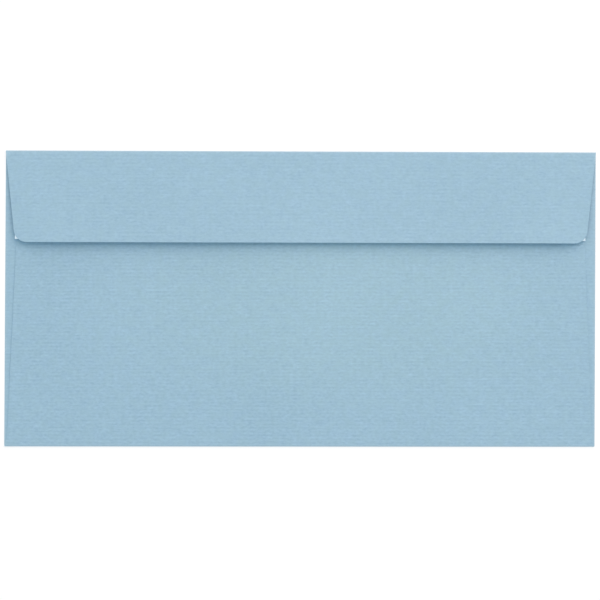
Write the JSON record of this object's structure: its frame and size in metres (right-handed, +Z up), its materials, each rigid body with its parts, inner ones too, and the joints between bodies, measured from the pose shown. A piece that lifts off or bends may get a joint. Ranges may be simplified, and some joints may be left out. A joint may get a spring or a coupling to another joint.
{
  "type": "paper envelope",
  "caption": "Long closed paper envelope with glued side seams and a tapered, round-cornered flap that stands slightly open over its peel-off adhesive strip.",
  "frame": {"origin": "under the middle of the closed envelope, on the surface that its front lies on", "axes": "+X along the long side, +Y from the bottom fold towards the flap's fold, +Z up out of the back, where the flap is"},
  "size_m": [0.22, 0.11, 0.0033],
  "materials": {
    "blue_paper": "matt laid writing paper, pale blue, with fine ribs along the envelope",
    "seam_glue": "dried starch glue",
    "closure_adhesive": "tacky transfer adhesive",
    "liner_paper": "smooth white silicone-coated release paper"
  },
  "bodies": {
    "root": {"envelope_sheet": "blue_paper", "left_seam_glue": "seam_glue", "right_seam_glue": "seam_glue", "flap_adhesive": "closure_adhesive", "release_liner": "liner_paper"}
  },
  "joints": []
}
